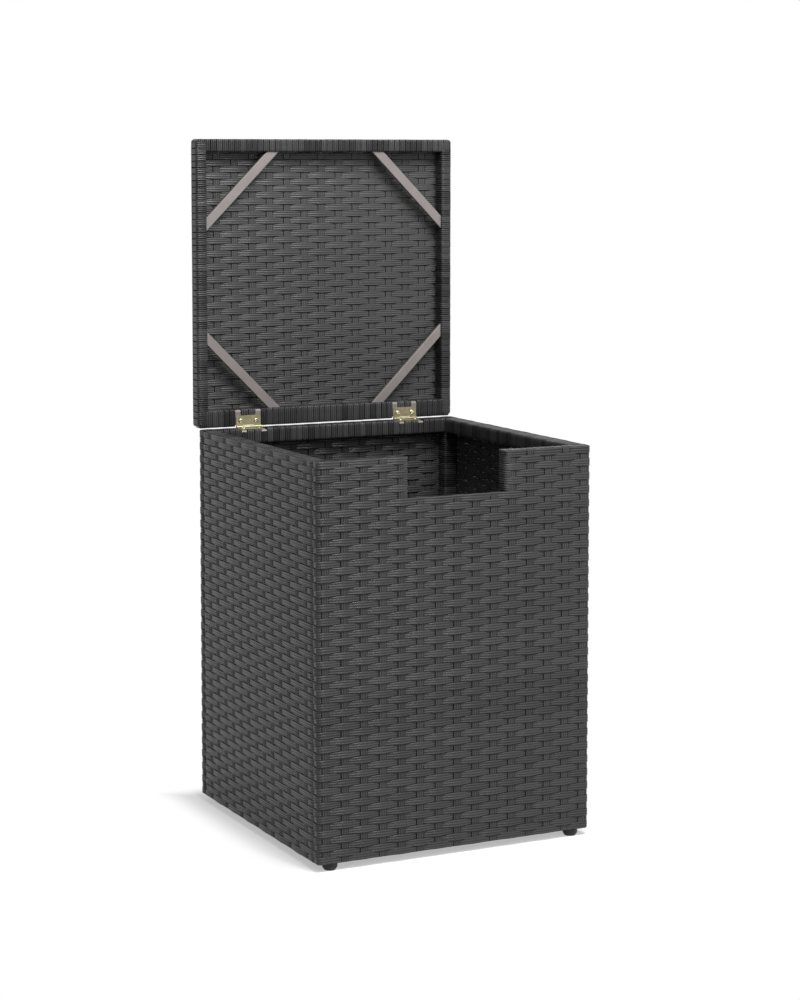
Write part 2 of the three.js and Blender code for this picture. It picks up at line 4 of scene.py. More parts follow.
import bpy
import numpy as np
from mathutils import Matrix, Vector


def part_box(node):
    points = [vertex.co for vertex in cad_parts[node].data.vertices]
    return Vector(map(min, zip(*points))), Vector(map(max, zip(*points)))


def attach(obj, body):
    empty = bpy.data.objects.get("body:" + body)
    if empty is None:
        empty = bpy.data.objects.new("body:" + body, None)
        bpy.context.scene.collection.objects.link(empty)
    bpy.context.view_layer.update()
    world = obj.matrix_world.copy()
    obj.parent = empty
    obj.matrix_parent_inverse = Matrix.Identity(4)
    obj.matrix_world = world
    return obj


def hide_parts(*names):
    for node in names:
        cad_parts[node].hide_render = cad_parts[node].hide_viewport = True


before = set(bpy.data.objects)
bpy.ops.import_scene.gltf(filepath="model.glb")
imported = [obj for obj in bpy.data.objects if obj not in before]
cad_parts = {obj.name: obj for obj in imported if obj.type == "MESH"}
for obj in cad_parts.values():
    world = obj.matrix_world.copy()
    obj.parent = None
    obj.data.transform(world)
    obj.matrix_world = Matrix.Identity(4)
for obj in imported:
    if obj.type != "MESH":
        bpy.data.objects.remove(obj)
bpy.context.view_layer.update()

mm = 0.001

# The camera stands in front of the box, to its left, as high as the open lid's top, and looks
# slightly down. Its view is moved by a small shift, as the photograph's is.
camera_place = Vector((-1436.0, -2932.5, 906.4)) * mm
camera_turn = math.radians(26.431)
camera_tilt = math.radians(5.086)
camera_lens = 86.89
camera_shift = -0.13

camera = bpy.data.objects.new("camera", bpy.data.cameras.new("camera"))
bpy.context.collection.objects.link(camera)
camera.location = camera_place
camera.rotation_euler = (math.pi / 2 - camera_tilt, 0, -camera_turn)
camera.data.lens = camera_lens
camera.data.shift_y = camera_shift
bpy.context.scene.camera = camera
bpy.context.scene.view_settings.view_transform = "Standard"

# Frame of the box and of the lid: square mild steel tube, 18 mm with 1 mm walls, cut, welded and
# sprayed silver grey. The coat shows only in the strips left bare at the hinges and on the lid's
# corner braces.
silver_coat_light = "6E6866"
silver_coat_dark = "5C5756"
coat_grain = 1.6 * mm
coat_cloud = 24 * mm
coat_peel = 0.1 * mm
coat_roughness = (0.42, 0.56)


def linear(code):
    """An sRGB hex colour as the linear one that a shader takes."""
    parts = [int(code[i:i + 2], 16) / 255 for i in (0, 2, 4)]
    return [c / 12.92 if c <= 0.04045 else ((c + 0.055) / 1.055) ** 2.4 for c in parts] + [1.0]


def node(tree, kind, inputs=(), **settings):
    """Adds a node with its settings. Each input gets a value, or a link from a node's socket."""
    made = tree.nodes.new(kind)
    for name, value in settings.items():
        setattr(made, name, value)
    for name, value in dict(inputs).items():
        if isinstance(value, bpy.types.NodeSocket):
            tree.links.new(value, made.inputs[name])
        else:
            made.inputs[name].default_value = value
    return made


def new_finish(name):
    """An empty material with its node tree."""
    finish = bpy.data.materials.new(name)
    finish.use_nodes = True
    finish.node_tree.nodes.clear()
    return finish, finish.node_tree


def end_finish(tree, shader):
    """Links the shader to the material's output."""
    output = node(tree, "ShaderNodeOutputMaterial")
    tree.links.new(shader.outputs[0], output.inputs["Surface"])


# Sprayed silver grey coat: satin, with a fine orange peel and faint clouds in its tone
silver_coat, tree = new_finish("silver_grey_powder_coat")
place = node(tree, "ShaderNodeTexCoord").outputs["Object"]
grain = node(tree, "ShaderNodeTexNoise", {
    "Vector": place, "Scale": 1 / coat_grain, "Detail": 2.0,
})
cloud = node(tree, "ShaderNodeTexNoise", {
    "Vector": place, "Scale": 1 / coat_cloud, "Detail": 3.0,
})
tone = node(tree, "ShaderNodeMix", {
    "Factor": cloud.outputs["Fac"], "A": linear(silver_coat_dark), "B": linear(silver_coat_light),
}, data_type="RGBA")
gloss = node(tree, "ShaderNodeMapRange", {
    "Value": grain.outputs["Fac"], "To Min": coat_roughness[0], "To Max": coat_roughness[1],
})
peel = node(tree, "ShaderNodeBump", {
    "Height": grain.outputs["Fac"], "Strength": 0.25, "Distance": coat_peel,
})
end_finish(tree, node(tree, "ShaderNodeBsdfPrincipled", {
    "Base Color": tone.outputs["Result"], "Roughness": gloss.outputs["Result"],
    "Metallic": 0.25, "Normal": peel.outputs["Normal"],
}))

frame_parts = [
    "front_left_post", "front_right_post", "rear_left_post", "rear_right_post",
    "rear_top_rail", "left_top_rail", "right_top_rail",
    "front_left_top_rail", "front_right_top_rail",
    "notch_left_upright", "notch_right_upright", "notch_cross_rail",
    "front_bottom_rail", "rear_bottom_rail", "left_bottom_rail", "right_bottom_rail",
    "lid_hinge_tube", "lid_front_tube", "lid_left_tube", "lid_right_tube",
    "lid_brace_front_left", "lid_brace_front_right", "lid_brace_rear_left", "lid_brace_rear_right",
]


def coat(names, finish):
    """Gives the named solids of the table a finish."""
    for name in names:
        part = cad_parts[name]
        part.data.materials.clear()
        part.data.materials.append(finish)


coat(frame_parts, silver_coat)

# Feet: round glides of moulded black polypropylene, pushed into the underside of the bottom tubes
# by a barbed stem. The skin is slightly satin, with the fine grain of the mould and faint scuffs.
foot_black = "0C0C0D"
foot_worn = "18181A"
mould_grain = 0.7 * mm
mould_pits = 0.08 * mm
scuff_size = 5 * mm

moulded_plastic, tree = new_finish("moulded_black_polypropylene")
place = node(tree, "ShaderNodeTexCoord").outputs["Object"]
grain = node(tree, "ShaderNodeTexNoise", {
    "Vector": place, "Scale": 1 / mould_grain, "Detail": 3.0,
})
scuff = node(tree, "ShaderNodeTexNoise", {
    "Vector": place, "Scale": 1 / scuff_size, "Detail": 4.0,
})
tone = node(tree, "ShaderNodeMix", {
    "Factor": scuff.outputs["Fac"], "A": linear(foot_black), "B": linear(foot_worn),
}, data_type="RGBA")
pits = node(tree, "ShaderNodeBump", {
    "Height": grain.outputs["Fac"], "Strength": 0.3, "Distance": mould_pits,
})
end_finish(tree, node(tree, "ShaderNodeBsdfPrincipled", {
    "Base Color": tone.outputs["Result"], "Roughness": 0.42, "IOR": 1.49,
    "Specular IOR Level": 0.3, "Normal": pits.outputs["Normal"],
}))
coat(["front_left_foot", "front_right_foot", "rear_left_foot", "rear_right_foot"],
     moulded_plastic)

# Woven walls: flat strands of dark charcoal polyethylene rattan, extruded with fine ribs and woven
# over and under upright stakes of the same strand. The front and back walls' strands go round the
# corner posts and tuck in behind the side walls; beside the hose notch they go round its edges.
# The ribs are drawn coarser than the real ones, about 1 mm apart, which are too fine to show.
strand_width = 9.4 * mm
strand_swell = 0.13
strand_thickness = 1.1 * mm
half_strand = strand_thickness / 2
strand_crown = 0.35
strand_ribs = 3
flat_back_share = 0.3
groove_depth = 0.38 * mm
rib_round = 0.5 * mm
stake_width = 10.6 * mm
stake_thickness = 1.0 * mm
stake_pitch = 26.8 * mm
stake_count = 15
row_pitch = 9.07 * mm
weave_depth = 1.67 * mm
weave_swing = 1.12 * mm
swing_variety = 0.06
stake_swing = 0.12 * mm
stake_foot = 1 * mm
rim_ledge = 1.3 * mm
notch_skin = 1.3 * mm
jamb_return = 22 * mm
tube_reach = 22.5 * mm
first_row = 3.6 * mm
corner_bend = 4.5 * mm
corner_wrap = 16 * mm
tuck_length = 3 * mm
tuck_sink = 1.25 * mm
crease_gap = 0.4 * mm
flatten_from = 14 * mm
flatten_length = 10 * mm
route_step = 4.6 * mm
row_jitter = 0.08 * mm
row_wander = 0.1 * mm
stake_slip = 0.06
side_tightness = 0.38
edge_tightness = 0.4
wander_length = 90 * mm
resin_dark = "1A1A1A"
resin_light = "3D3D3D"
resin_roughness = (0.17, 0.27)
streak_length = 55 * mm
streaks_across = 4.0
streak_depth = 0.25 * mm

# Extruded polyethylene: a smooth waxy skin that is nearly black, with a narrow sheen along each rib
resin, tree = new_finish("extruded_pe_rattan")
across = node(tree, "ShaderNodeAttribute", attribute_name="across").outputs["Fac"]
along = node(tree, "ShaderNodeAttribute", attribute_name="along").outputs["Fac"]
shade = node(tree, "ShaderNodeAttribute", attribute_name="shade").outputs["Fac"]
# Flow lines of the extruded strand: noise drawn out along it, a new one for each strand
streak_place = node(tree, "ShaderNodeCombineXYZ", {
    axis: node(tree, "ShaderNodeMath", {0: mark, 1: scale}, operation="MULTIPLY").outputs[0]
    for axis, mark, scale in (("X", along, 1 / streak_length), ("Y", across, streaks_across),
                              ("Z", shade, 97.0))
})
streak = node(tree, "ShaderNodeTexNoise", {
    "Vector": streak_place.outputs[0], "Scale": 1.0, "Detail": 3.0, "Roughness": 0.6,
})
# Ribs: the grooves between them are painted darker than the crests, as shade in the hollows; the
# same rib wave drives the bump that rounds them
rib_groove = (-1) ** strand_ribs
rib_angle = node(tree, "ShaderNodeMath", {
    0: across, 1: strand_ribs * math.pi,
}, operation="MULTIPLY")
rib_wave = node(tree, "ShaderNodeMath", {0: rib_angle.outputs[0]}, operation="COSINE")
rib_height_and_groove_shade = node(tree, "ShaderNodeMapRange", {
    "Value": rib_wave.outputs[0], "From Min": rib_groove, "From Max": -rib_groove,
    "To Min": 0.0, "To Max": 0.5,
})
# The painted groove shade joins the flow lines here
marks = node(tree, "ShaderNodeMath", {
    0: streak.outputs["Fac"], 1: 0.4, 2: rib_height_and_groove_shade.outputs["Result"],
}, operation="MULTIPLY_ADD")
# The strand's tone comes in here, holding the windings' painted shade and the lid's painted light
mixed = node(tree, "ShaderNodeMath", {
    0: shade, 1: 0.4, 2: marks.outputs[0],
}, operation="MULTIPLY_ADD")
tone = node(tree, "ShaderNodeMix", {
    "Factor": mixed.outputs[0], "A": linear(resin_dark), "B": linear(resin_light),
}, data_type="RGBA")
gloss = node(tree, "ShaderNodeMapRange", {
    "Value": streak.outputs["Fac"], "To Min": resin_roughness[0], "To Max": resin_roughness[1],
})
rounded = node(tree, "ShaderNodeBump", {
    "Height": rib_height_and_groove_shade.outputs["Result"], "Strength": 1.0, "Distance": rib_round,
})
flow = node(tree, "ShaderNodeBump", {
    "Height": streak.outputs["Fac"], "Strength": 0.5, "Distance": streak_depth,
    "Normal": rounded.outputs["Normal"],
})
end_finish(tree, node(tree, "ShaderNodeBsdfPrincipled", {
    "Base Color": tone.outputs["Result"], "Roughness": gloss.outputs["Result"], "IOR": 1.51,
    "Specular IOR Level": 0.11, "Normal": flow.outputs["Normal"],
}))

dice = random.Random(7)


def ribbed_section(width, thickness, ribbed_back=True):
    """Outline of a strand, across it and out from its middle, ribbed on its face or on both."""
    def face(sign):
        points = []
        for i in range(1, 2 * strand_ribs):
            share = i / (2 * strand_ribs) * 2 - 1
            crown = 1 - strand_crown * share ** 4
            height = thickness / 2 * crown - (0 if i % 2 else groove_depth)
            points.append((share * width / 2, sign * height))
        return points
    back = face(-1)[::-1]
    if not ribbed_back:
        back = [(side * flat_back_share * width, -thickness / 2) for side in (1, -1)]
    return np.array([(-width / 2, 0)] + face(1) + [(width / 2, 0)] + back)


def bent_route(corners, radius, step, turn_steps=5):
    """Flat route through corners, with rounded bends: points, left-hand normals and lengths."""
    corners = [np.array(c, float) for c in corners]
    points = [corners[0]]
    for before, corner, after in zip(corners, corners[1:], corners[2:]):
        back = (before - corner) / np.linalg.norm(before - corner)
        ahead = (after - corner) / np.linalg.norm(after - corner)
        half = math.acos(np.clip(back @ ahead, -1, 1)) / 2
        inward = (back + ahead) / np.linalg.norm(back + ahead)
        middle = corner + inward * radius / math.sin(half)
        arm = corner + back * radius / math.tan(half) - middle
        turn = np.sign(ahead[0] * back[1] - ahead[1] * back[0]) * (math.pi - 2 * half)
        for i in range(turn_steps + 1):
            c, s = math.cos(turn * i / turn_steps), math.sin(turn * i / turn_steps)
            turned = np.array((c * arm[0] - s * arm[1], s * arm[0] + c * arm[1]))
            points.append(middle + turned)
    points.append(corners[-1])
    route = [points[0]]
    for start, end in zip(points, points[1:]):
        count = max(1, math.ceil(np.linalg.norm(end - start) / step))
        route += [start + (end - start) * i / count for i in range(1, count + 1)]
    route = np.array(route)
    ways = np.diff(route, axis=0)
    lengths = np.linalg.norm(ways, axis=1)
    ways = ways / lengths[:, None]
    ways = np.vstack([ways[:1], ways[:-1] + ways[1:], ways[-1:]])
    ways = ways / np.linalg.norm(ways, axis=1)[:, None]
    normals = np.stack([-ways[:, 1], ways[:, 0]], axis=1)
    return route, normals, np.concatenate([[0], np.cumsum(lengths)])


def strand_piece(name, strands, section, body, replaced=(), variety=0.6, tone_and_painted_light=0.5):
    """One piece of many strands, each (points, normals, side, width shares). The section is set
    square to the route, and its grooves keep a sharp edge. tone_and_painted_light is the strands'
    tone, from dark to light, which for the windings holds painted shade and for the lid painted
    light; variety is how much they differ in it."""
    ring = len(section)
    ribs = np.abs(section[:, 1])
    grooves = np.flatnonzero((ribs < np.roll(ribs, 1)) & (ribs < np.roll(ribs, -1)) & (ribs > 0))
    points, faces, smooth = [], [], []
    marks = {"across": [], "along": [], "shade": []}
    first = 0
    for route, normals, side, widths in strands:
        count = len(route)
        widths = np.broadcast_to(widths, count)
        side = np.broadcast_to(np.array(side, float), route.shape)
        rings = (route[:, None] + side[:, None] * section[None, :, 0, None] * widths[:, None, None]
                 + normals[:, None] * section[None, :, 1, None])
        points.append(rings.reshape(-1, 3))
        # Each strand's tone, with the windings' painted shade or the lid's painted light in it
        shade = tone_and_painted_light + variety * (dice.random() - 0.5)
        steps = np.linalg.norm(np.diff(route, axis=0), axis=1)
        lengths = np.concatenate([[0], np.cumsum(steps)])
        marks["across"].append(np.tile(section[:, 0] / section[:, 0].max(), count))
        marks["along"].append(np.repeat(lengths, ring))
        marks["shade"].append(np.full(count * ring, shade))
        outward = np.cross(side[0], route[1] - route[0]) @ normals[0] > 0
        i, j = np.meshgrid(np.arange(count - 1), np.arange(ring), indexing="ij")
        k = (j + 1) % ring
        quads = np.stack([i * ring + j, i * ring + k, (i + 1) * ring + k, (i + 1) * ring + j],
                         axis=-1).reshape(-1, 4) + first
        ends = [list(range(first + ring - 1, first - 1, -1)),
                list(range(first + (count - 1) * ring, first + count * ring))]
        if not outward:
            quads = quads[:, ::-1]
            ends = [end[::-1] for end in ends]
        faces += quads.tolist() + ends
        smooth += [True] * len(quads) + [False, False]
        first += count * ring
    mesh = bpy.data.meshes.new(name)
    mesh.from_pydata(np.concatenate(points).tolist(), [], faces)
    mesh.update(calc_edges=True)
    mesh.polygons.foreach_set("use_smooth", smooth)
    edges = np.empty(len(mesh.edges) * 2, np.int32)
    mesh.edges.foreach_get("vertices", edges)
    one_end, other_end = edges.reshape(-1, 2).T % ring
    sharp = (one_end == other_end) & np.isin(one_end, grooves)
    mesh.edges.foreach_set("use_edge_sharp", sharp)
    for mark, values in marks.items():
        attribute = mesh.attributes.new(mark, "FLOAT", "POINT")
        attribute.data.foreach_set("value", np.concatenate(values))
    mesh.materials.append(resin)
    piece = bpy.data.objects.new(name, mesh)
    bpy.context.collection.objects.link(piece)
    if replaced:
        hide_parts(*replaced)
    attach(piece, body)


def fade(x):
    """Smooth step from 0 to 1."""
    x = np.clip(x, 0, 1)
    return x * x * (3 - 2 * x)


def flat_place(route, normals, height):
    """A route on plan and its normals, set at a height, from which it wanders a little."""
    places = np.cumsum(np.linalg.norm(np.diff(route, axis=0, prepend=route[:1]), axis=1))
    height = height + row_jitter * (dice.random() - 0.5)
    wander = row_wander * np.sin(places / wander_length * 2 * math.pi + 6.3 * dice.random())
    points = np.column_stack([route, height + wander])
    return points, np.column_stack([normals, np.zeros(len(route))])


front_low, front_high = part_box("front_woven_wall")
left_x, right_x = front_low.x, front_high.x
front_y, back_y = front_low.y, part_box("rear_woven_wall")[1].y
wall_bottom = front_low.z
rim_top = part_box("rear_rim_winding")[1].z
notch_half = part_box("notch_right_upright")[0].x - notch_skin
notch_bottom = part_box("notch_cross_rail")[1].z + notch_skin
middle_y = (front_y + back_y) / 2
half_wall = (right_x - left_x) / 2
row_top = rim_top - first_row
row_count = math.ceil((row_top - wall_bottom) / row_pitch)
row_heights = np.clip([row_top - row_pitch * k for k in range(row_count)],
                      wall_bottom + strand_width / 2, rim_top - strand_width / 2)
stake_places = [(i - (stake_count - 1) / 2) * stake_pitch for i in range(stake_count)]
upright = (0, 0, 1)
weaver_section = ribbed_section(strand_width, strand_thickness)
stake_section = ribbed_section(stake_width, stake_thickness)


def weave_in(route, normals, lengths, stakes, row, keep=1.0, tucked=(True, True)):
    """Moves a route in and out of its stakes, which are lengths along it with their numbers, and
    returns it with its width shares: a strand is widest where it bulges. Tucked ends go in behind
    the next wall."""
    turn = np.interp(lengths, *zip(*stakes)) + stake_slip * (dice.random() - 0.5)
    swing = weave_swing * (1 - swing_variety * dice.random())
    offset = swing * np.cos(math.pi * turn) * (-1) ** row * keep
    for tuck, near in zip(tucked, (lengths, lengths[-1] - lengths)):
        gone = (1 - fade(near / tuck_length)) * tuck
        offset = offset * (1 - gone) - gone * tuck_sink
    return route + normals * offset[:, None], 1 + strand_swell * np.abs(offset) / weave_swing


def stake_lengths(route, lengths, places):
    """How far along the route each place on plan is."""
    found = []
    for place in places:
        near = np.argmin(np.linalg.norm(route - np.array(place), axis=1))
        a, b = max(0, near - 1), min(len(route) - 1, near + 1)
        way = route[b] - route[a]
        share = np.clip((np.array(place) - route[a]) @ way / (way @ way), 0, 1)
        found.append(lengths[a] + share * (lengths[b] - lengths[a]))
    return found


def numbered(places):
    """Stake lengths with their numbers, carried on by one more at each end."""
    numbers = list(range(len(places)))
    return ([(places[0] - stake_pitch, -1)] + list(zip(places, numbers))
            + [(places[-1] + stake_pitch, len(places))])


def stake(place, out, number, top):
    """One upright stake, pushed out where a strand passes behind it."""
    low = wall_bottom + stake_foot
    heights = np.linspace(low, top, int((top - low) / row_pitch * 2) + 1)
    swing = -stake_swing * np.cos(math.pi * (row_top - heights) / row_pitch) * (-1) ** number
    out = np.array((*out, 0.0))
    route = np.column_stack([np.broadcast_to(place, (len(heights), 2)), heights])
    side = np.cross(out, upright)
    return route + out * swing[:, None], np.broadcast_to(out, route.shape), side, 1.0


def strand_beside_notch(side, row, height, inner, crease):
    """A front strand that ends round the notch's left (side -1) or right (side 1) edge."""
    outer = side * (right_x - weave_depth)
    jamb = side * (notch_half + half_strand)
    jamb_back = front_y + tube_reach
    corners = [(outer, crease), (outer, inner), (jamb, inner), (jamb, jamb_back),
               (jamb + side * jamb_return, jamb_back)]
    route, normals, lengths = bent_route(corners, corner_bend, route_step)
    normals = normals * side
    own = [(side * -x, inner) for x in stake_places if -x > notch_half]
    stakes = numbered(stake_lengths(route, lengths, own))
    edge = stake_lengths(route, lengths, [(jamb, inner)])[0]
    keep = 1 - fade((lengths - edge + flatten_from) / flatten_length)
    route, widths = weave_in(route, normals, lengths, stakes, row, keep, (True, False))
    return (*flat_place(route, normals, height), upright, widths)


def front_or_back_wall(name, face_y, way, replaced):
    """Strands and stakes of the front wall (way -1) or the back wall (way 1)."""
    inner = face_y - way * weave_depth
    west, east = left_x + weave_depth, right_x - weave_depth
    crease = face_y - way * corner_wrap
    corners = [(west, crease), (west, inner), (east, inner), (east, crease)][::way]
    route, normals, lengths = bent_route(corners, corner_bend, route_step)
    stakes = numbered(stake_lengths(route, lengths, [(x, inner) for x in stake_places][::way]))
    strands = []
    for row, height in enumerate(row_heights):
        if way < 0 and height > notch_bottom:
            strands += [strand_beside_notch(side, row, height, inner, crease) for side in (-1, 1)]
            continue
        keep = edge_tightness if row == row_count - 1 else 1.0
        woven, widths = weave_in(route, normals, lengths, stakes, row, keep)
        strands.append((*flat_place(woven, normals, height), upright, widths))
    strand_piece(name + "_weave", strands, weaver_section, "base", [replaced])

    uprights = []
    for number, x in enumerate(stake_places):
        top = (notch_bottom if way < 0 and abs(x) < notch_half else rim_top) - rim_ledge
        uprights.append(stake((x, inner), (0, way), number, top))
    strand_piece(name + "_stakes", uprights, stake_section, "base", [replaced])


front_or_back_wall("front", front_y, -1, "front_woven_wall")
front_or_back_wall("rear", back_y, 1, "rear_woven_wall")

# The side walls' strands lie flatter, end at the corners' creases and take the other turn
for side, name in ((-1, "left"), (1, "right")):
    x = side * (half_wall - weave_depth)
    reach = half_wall - corner_wrap - crease_gap
    ends = [(x, middle_y - reach), (x, middle_y + reach)]
    route, normals, lengths = bent_route(ends, corner_bend, route_step)
    normals = normals * (-side)
    places = [(x, middle_y + y) for y in stake_places[1:-1]]
    stakes = numbered(stake_lengths(route, lengths, places))
    strands = []
    for row, height in enumerate(row_heights):
        keep = edge_tightness if row == row_count - 1 else side_tightness
        woven, widths = weave_in(route, normals, lengths, stakes, row + 1, keep)
        strands.append((*flat_place(woven, normals, height), upright, widths))
    strand_piece(name + "_weave", strands, weaver_section, "base", [name + "_woven_wall"])
    uprights = [stake(place, (side, 0), number, rim_top - rim_ledge)
                for number, place in enumerate(places, 1)]
    strand_piece(name + "_stakes", uprights, stake_section, "base", [name + "_woven_wall"])

# Rim windings: the same strand wound side by side round the tubes of the top ring. It shows on top
# and inside; outside, it goes down behind the walls' top strand. At the hinges it gives way to the
# leaves, and beside them two short strips of the silver tube stay bare.
wound_width = 9.0 * mm
wound_pitch = 8.95 * mm
wound_variety = 1.5
# The windings are the same strand as the walls, painted darker as shade
wound_painted_shade = -0.2
wound_bend = 2.8 * mm
wound_turn_steps = 4
wound_step = 6 * mm
wound_lean = 0.9 * mm
wound_lift = 0.25 * mm
wound_overlap = 0.1
rim_bulge = 1.2 * mm
tuck_depth = 2.6 * mm
tuck_height = 6.5 * mm
rail_height = 20.6 * mm
tube_back = 4 * mm
rim_end = 3.5 * mm
side_rim_end = 23.4 * mm

wound_section = ribbed_section(wound_width, strand_thickness, ribbed_back=False)


def wind(corners, origin, inward, up, start, end, bend=wound_bend):
    """Strands side by side round a tube. corners are (in, up) from the origin, which is on the
    tube's edge, and go round with the tube on their right. start and end are places along the
    tube, on the third axis."""
    inward, up = np.array(inward, float), np.array(up, float)
    axis = np.cross(inward, up)
    if axis @ np.array(start) > axis @ np.array(end):
        axis = -axis
    length = np.linalg.norm(np.array(end) - np.array(start))
    count = max(1, round(length / wound_pitch))
    route, normals, lengths = bent_route(corners, bend, wound_step, wound_turn_steps)
    loops = []
    for i in range(count):
        place = np.array(start) + axis * length * (i + 0.5) / count
        lean = wound_lean * (dice.random() - 0.5) * (lengths / lengths[-1] - 0.5)
        flat = route + normals * (-wound_lift * dice.random())
        points = (np.array(origin) * (1 - np.abs(axis)) + place * np.abs(axis)
                  + flat[:, :1] * inward + flat[:, 1:] * up + lean[:, None] * axis)
        width = length / count / wound_pitch * (1 + wound_overlap * dice.random())
        loops.append((points, normals[:, :1] * inward + normals[:, 1:] * up, axis, width))
    return loops


def rail_loop(top_start=None, bulge=0.0):
    """Way round a rim rail: from behind the wall, or from top_start, over the top, down inside and
    back below."""
    top, under = bulge - half_strand, half_strand - rail_height
    begin = [(top_start, top)] if top_start else [(tuck_depth, -tuck_height), (tuck_depth, top)]
    return begin + [(tube_reach, top), (tube_reach, under), (tube_back, under)]


def wound_piece(name, strands, body, replaced):
    """A piece of wound strands, painted darker on the whole than the woven ones as shade, and more
    varied in tone.
    """
    strand_piece(name, strands, wound_section, body, [replaced], wound_variety, wound_painted_shade)


leaf_low, leaf_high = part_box("left_hinge_rim_leaf")
hinge_x = -(leaf_low.x + leaf_high.x) / 2
half_leaf = (leaf_high.x - leaf_low.x) / 2
leaf_room = 0.4 * mm
leaf_side_room = 1.1 * mm
bare_strip = 7.7 * mm
bare_drop = 4.0 * mm


def hinge_spans(strip_loop, leaf_loop):
    """What is wound at the two hinges: behind each leaf, and less at the bare strips beside it."""
    spans = []
    for middle in (-hinge_x, hinge_x):
        spans += [
            (middle - half_leaf, middle - half_leaf + bare_strip, strip_loop),
            (middle - half_leaf + bare_strip, middle + half_leaf - bare_strip, leaf_loop),
            (middle + half_leaf - bare_strip, middle + half_leaf, strip_loop),
        ]
    return spans


def plain_spans(reach, loop):
    """The three runs between and beside the hinges, which reach out to the ends."""
    return [(-reach, -hinge_x - half_leaf - leaf_side_room, loop),
            (-hinge_x + half_leaf + leaf_side_room, hinge_x - half_leaf - leaf_side_room, loop),
            (hinge_x + half_leaf + leaf_side_room, reach, loop)]


rim_reach = half_wall - rim_end
rear_loop = rail_loop(bulge=rim_bulge)
leaf_loop = rail_loop(back_y - leaf_low.y + leaf_room)
strip_loop = [(tube_reach, -bare_drop)] + rear_loop[-2:]
first, *others = plain_spans(rim_reach, rear_loop)
strands = []
for start, end, loop in [first] + hinge_spans(strip_loop, leaf_loop) + others:
    strands += wind(loop, (0, back_y, rim_top), (0, -1, 0), (0, 0, 1), (start, 0, 0), (end, 0, 0))
wound_piece("rear_rim_strands", strands, "base", "rear_rim_winding")

for side, name in ((-1, "left"), (1, "right")):
    strands = wind(rail_loop(), (side * half_wall, 0, rim_top), (-side, 0, 0), (0, 0, 1),
                   (0, front_y + side_rim_end, 0), (0, back_y - side_rim_end, 0))
    wound_piece(name + "_rim_strands", strands, "base", name + "_rim_winding")

# Front: two short runs, the tops of the notch's jambs, which the walls' strands wrap below, and
# the cross rail under the notch
jamb_reach = notch_half + jamb_return
jamb_top_end = notch_half + 0.6 * mm
jamb_inner = tube_reach - 0.2 * mm
jamb_drop = 2.2 * mm
cross_reach = notch_half + 0.5 * mm
jamb_loop = [(tuck_depth, -tuck_height), (tuck_depth, -half_strand), (jamb_inner, -half_strand),
             (jamb_inner, -jamb_drop)]
strands = []
for side in (-1, 1):
    spans = [(rim_reach, jamb_reach, rail_loop()), (jamb_reach, jamb_top_end, jamb_loop)]
    for start, end, loop in spans:
        strands += wind(loop, (0, front_y, rim_top), (0, 1, 0), (0, 0, 1), (side * start, 0, 0),
                        (side * end, 0, 0))
strands += wind(rail_loop(), (0, front_y, notch_bottom), (0, 1, 0), (0, 0, 1),
                (-cross_reach, 0, 0), (cross_reach, 0, 0))
wound_piece("front_rim_strands", strands, "base", "front_rim_winding")

# Post windings: strands round the two inner faces of each corner post, with their ends behind the
# walls
for face_y, way, row_name in ((front_y, -1, "front"), (back_y, 1, "rear")):
    for side, name in ((-1, "left"), (1, "right")):
        node_name = f"{row_name}_{name}_post_winding"
        low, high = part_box(node_name)
        corner_x = side * (half_wall - tube_reach)
        corner_y = face_y - way * tube_reach
        corners = [(side * (half_wall - tube_back), corner_y), (corner_x, corner_y),
                   (corner_x, face_y - way * tube_back)]
        route, normals, lengths = bent_route(corners, wound_bend, wound_step, wound_turn_steps)
        normals = normals * side * way
        strands = []
        count = round((high.z - low.z) / wound_pitch)
        for i in range(count):
            height = low.z + (high.z - low.z) * (i + 0.5) / count
            lean = wound_lean * (dice.random() - 0.5) * (lengths / lengths[-1] - 0.5)
            flat = route + normals * (-wound_lift * dice.random())
            points, outward = flat_place(flat, normals, height)
            points[:, 2] += lean
            strands.append((points, outward, upright, 1.0))
        wound_piece(f"{row_name}_{name}_post_strands", strands, "base", node_name)

# Bottom windings: strands round the inner face, the underside and the top of each bottom tube.
# They show from below and from above, down inside the box.
bottom_top = 19.6 * mm
bottom_side_end = 24 * mm
bottom_loop = [(tube_back, bottom_top), (tube_reach, bottom_top), (tube_reach, half_strand),
               (tube_back, half_strand)]
bottom_reach = half_wall - tube_back
side_reach = half_wall - bottom_side_end
strands = []
for face_y, way in ((front_y, -1), (back_y, 1)):
    strands += wind(bottom_loop, (0, face_y, wall_bottom), (0, -way, 0), (0, 0, 1),
                    (-bottom_reach, 0, 0), (bottom_reach, 0, 0))
for side in (-1, 1):
    strands += wind(bottom_loop, (side * half_wall, 0, wall_bottom), (-side, 0, 0), (0, 0, 1),
                    (0, middle_y - side_reach, 0), (0, middle_y + side_reach, 0))
strand_piece("bottom_rail_strands", strands, wound_section, "base")

# Lid windings: strands round the outer side, the underside and the inner side of the lid's four
# tubes; the woven panel covers their ends. The lid is built here as it stands open, with its
# underside to the front.
lid_low, lid_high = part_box("lid_woven_panel")
under_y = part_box("lid_front_winding")[0].y
panel_y = lid_low.y
lid_half = lid_high.x
lid_bend = 2.4 * mm
lid_corner = 5.0 * mm
fan_inner = -6 * mm
fan_sink = 0.5 * mm
fan_stagger = 0.1 * mm
fan_width = 0.57
fan_shares = (0.16, 0.5, 0.84)
run_overlap = 1 * mm
skirt = panel_y - under_y


def lid_loop(width, start=0.0, rise=0.0, bulge=0.0):
    """Way round a lid tube: down the inner side, across the underside and up the outer side. With
    a start it ends on the underside, and with a rise on the inner side."""
    inner = width - half_strand
    if rise:
        return [(inner, skirt), (inner, rise)]
    if start:
        return [(inner, skirt), (inner, half_strand), (start, half_strand)]
    outer = half_strand - bulge
    return [(inner, skirt), (inner, half_strand), (outer, half_strand), (outer, skirt)]


